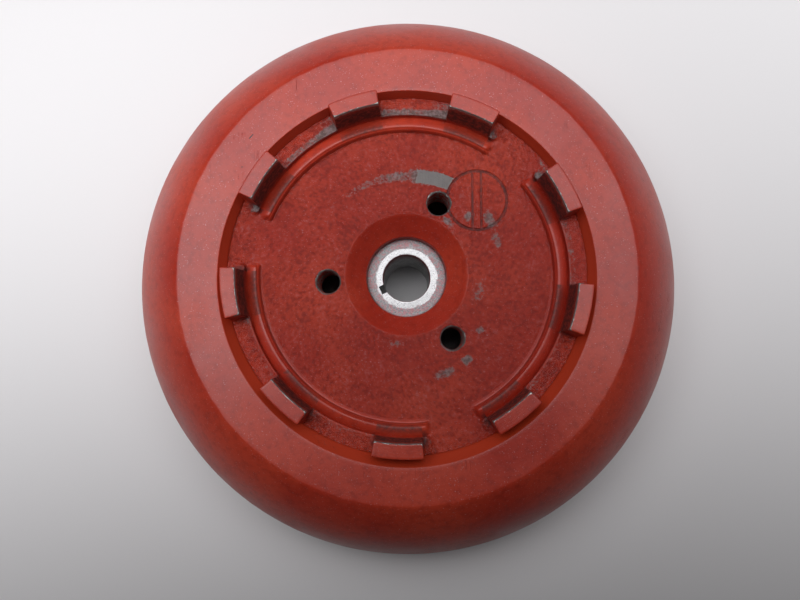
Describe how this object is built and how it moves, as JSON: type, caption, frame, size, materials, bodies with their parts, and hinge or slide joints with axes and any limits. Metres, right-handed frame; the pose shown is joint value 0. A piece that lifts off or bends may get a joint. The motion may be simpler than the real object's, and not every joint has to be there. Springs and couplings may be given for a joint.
{
  "type": "claw flywheel",
  "caption": "Heavy bun-shaped flywheel with upright driving claws in a dished front, tapped puller holes and a keyed steel hub bush.",
  "frame": {"origin": "on the wheel's axis, in the plane of the flat back that it lies on", "axes": "+Z along the axis, out of the claw side; +X lies 27.3 degrees clockwise of the middle of the first claw, seen from the claw side"},
  "size_m": [0.26, 0.26, 0.0815],
  "materials": {
    "rim_paint": "red-orange enamel over turned cast iron, satin, lightly scratched",
    "disc_paint": "red-orange enamel over sand-cast skin, glossy on the grain, rubbed to bare metal in patches",
    "bush_steel": "bare turned steel with concentric tool marks and a dull outer ring"
  },
  "bodies": {
    "root": {"rim": "rim_paint", "claw_disc": "disc_paint", "hub_bush": "bush_steel"}
  },
  "joints": []
}
